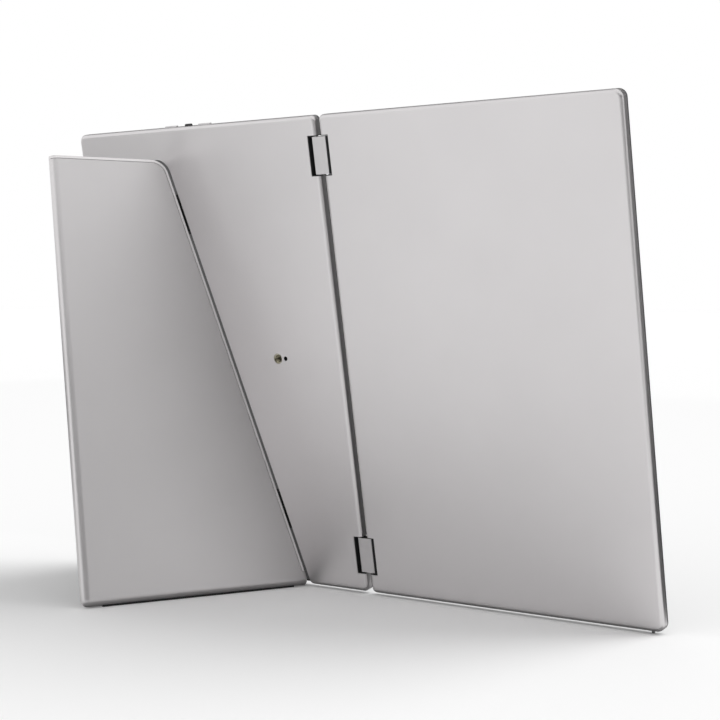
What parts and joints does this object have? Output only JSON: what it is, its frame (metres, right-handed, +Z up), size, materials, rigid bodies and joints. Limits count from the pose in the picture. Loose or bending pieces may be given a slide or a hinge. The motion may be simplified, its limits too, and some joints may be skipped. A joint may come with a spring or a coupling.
{
  "type": "dual portable monitor",
  "caption": "Folding portable screens joined edge to edge by link hinges, leaning on a slanted fold-out stand, with edge buttons, joystick and sockets.",
  "frame": {"origin": "middle of the object's footprint box, on the floor", "axes": "+X along the screens towards the main display, -Y the way the screens face, +Z up"},
  "size_m": [0.4212, 0.1542, 0.3099],
  "materials": {
    "silver_aluminium": "fine blasted",
    "black_plastic": "fine grain",
    "steel": "satin",
    "screen_glass": "polished",
    "oled_black": "unlit screen",
    "brass": "nickel washed",
    "rubber": "matte",
    "circuit_board": "solder mask",
    "chip_plastic": "moulded",
    "cable_jacket": "matte",
    "magnet_plating": "plated",
    "black_metal": "matte black"
  },
  "bodies": {
    "main_display": {"main_back_cover": "silver_aluminium", "main_bezel": "black_plastic", "main_screen_glass": "screen_glass", "main_oled_panel": "oled_black", "main_mid_plate": "silver_aluminium", "main_plate_screws": "steel", "main_hinge_brackets": "steel", "main_bracket_screws": "steel", "main_hinge_stubs": "steel", "main_notch_liners": "black_plastic", "main_link_cable": "cable_jacket", "main_board": "circuit_board", "main_board_chips": "chip_plastic", "main_board_screws": "steel", "tripod_insert": "brass", "usb_c_sockets": "steel", "mini_hdmi_socket": "steel", "control_board": "circuit_board", "control_switches": "chip_plastic", "joystick_housing": "chip_plastic", "stand_hinge_tracks": "black_metal", "stand_track_screws": "steel", "stand_magnets": "magnet_plating"},
    "hinge_link": {"hinge_links": "black_metal", "hinge_back_plates": "silver_aluminium", "hinge_front_plates": "silver_aluminium", "hinge_link_cable": "cable_jacket"},
    "second_display": {"second_back_cover": "silver_aluminium", "second_bezel": "black_plastic", "second_screen_glass": "screen_glass", "second_oled_panel": "oled_black", "second_mid_plate": "silver_aluminium", "second_plate_screws": "steel", "second_hinge_brackets": "steel", "second_bracket_screws": "steel", "second_hinge_stubs": "steel", "second_notch_liners": "black_plastic", "second_link_cable": "cable_jacket", "second_board": "circuit_board", "second_board_chips": "chip_plastic", "second_board_screws": "steel", "second_foot": "rubber"},
    "stand": {"stand_plate": "silver_aluminium", "stand_hinge_arms": "steel", "stand_arm_screws": "steel", "stand_catch_plates": "magnet_plating", "stand_foot": "rubber"},
    "power_button": {"power_button": "silver_aluminium"},
    "menu_button": {"menu_button": "silver_aluminium"},
    "joystick_plunger": {"joystick_plunger": "chip_plastic"},
    "joystick_rocker": {"joystick_rocker": "chip_plastic"},
    "joystick_stick": {"joystick_stick": "steel", "joystick_cap": "black_plastic"}
  },
  "joints": [
    {"name": "main_fold", "type": "hinge", "parent": "main_display", "child": "hinge_link", "pos_m": [0.0042, -0.04446, 0.15526], "axis": [0, 0.1862, 0.9825], "range_deg": [-55, 90]},
    {"name": "second_fold", "type": "hinge", "parent": "hinge_link", "child": "second_display", "pos_m": [-0.0042, -0.04446, 0.15526], "axis": [0, 0.1862, 0.9825], "range_deg": [-55, 90]},
    {"name": "stand_swing", "type": "hinge", "parent": "main_display", "child": "stand", "pos_m": [0.08885, -0.04332, 0.13873], "axis": [0.2706, 0.1792, 0.9459], "range_deg": [-70, 4]},
    {"name": "power_press", "type": "slide", "parent": "main_display", "child": "power_button", "axis": [0, -0.1862, -0.9825], "range_m": [0, 0.00035], "stiffness_N_per_m": 4000},
    {"name": "menu_press", "type": "slide", "parent": "main_display", "child": "menu_button", "axis": [0, -0.1862, -0.9825], "range_m": [0, 0.00035], "stiffness_N_per_m": 4000},
    {"name": "joystick_press", "type": "slide", "parent": "main_display", "child": "joystick_plunger", "axis": [0, -0.1862, -0.9825], "range_m": [0, 0.00025], "stiffness_N_per_m": 5000},
    {"name": "joystick_sideways", "type": "hinge", "parent": "joystick_plunger", "child": "joystick_rocker", "pos_m": [0.1094, -0.01665, 0.29991], "axis": [0, -0.9825, 0.1862], "range_deg": [-4, 4], "stiffness_Nm_per_rad": 0.1},
    {"name": "joystick_fore_aft", "type": "hinge", "parent": "joystick_rocker", "child": "joystick_stick", "pos_m": [0.1094, -0.01611, 0.30276], "axis": [1, 0, 0], "range_deg": [-4, 4], "stiffness_Nm_per_rad": 0.1}
  ]
}
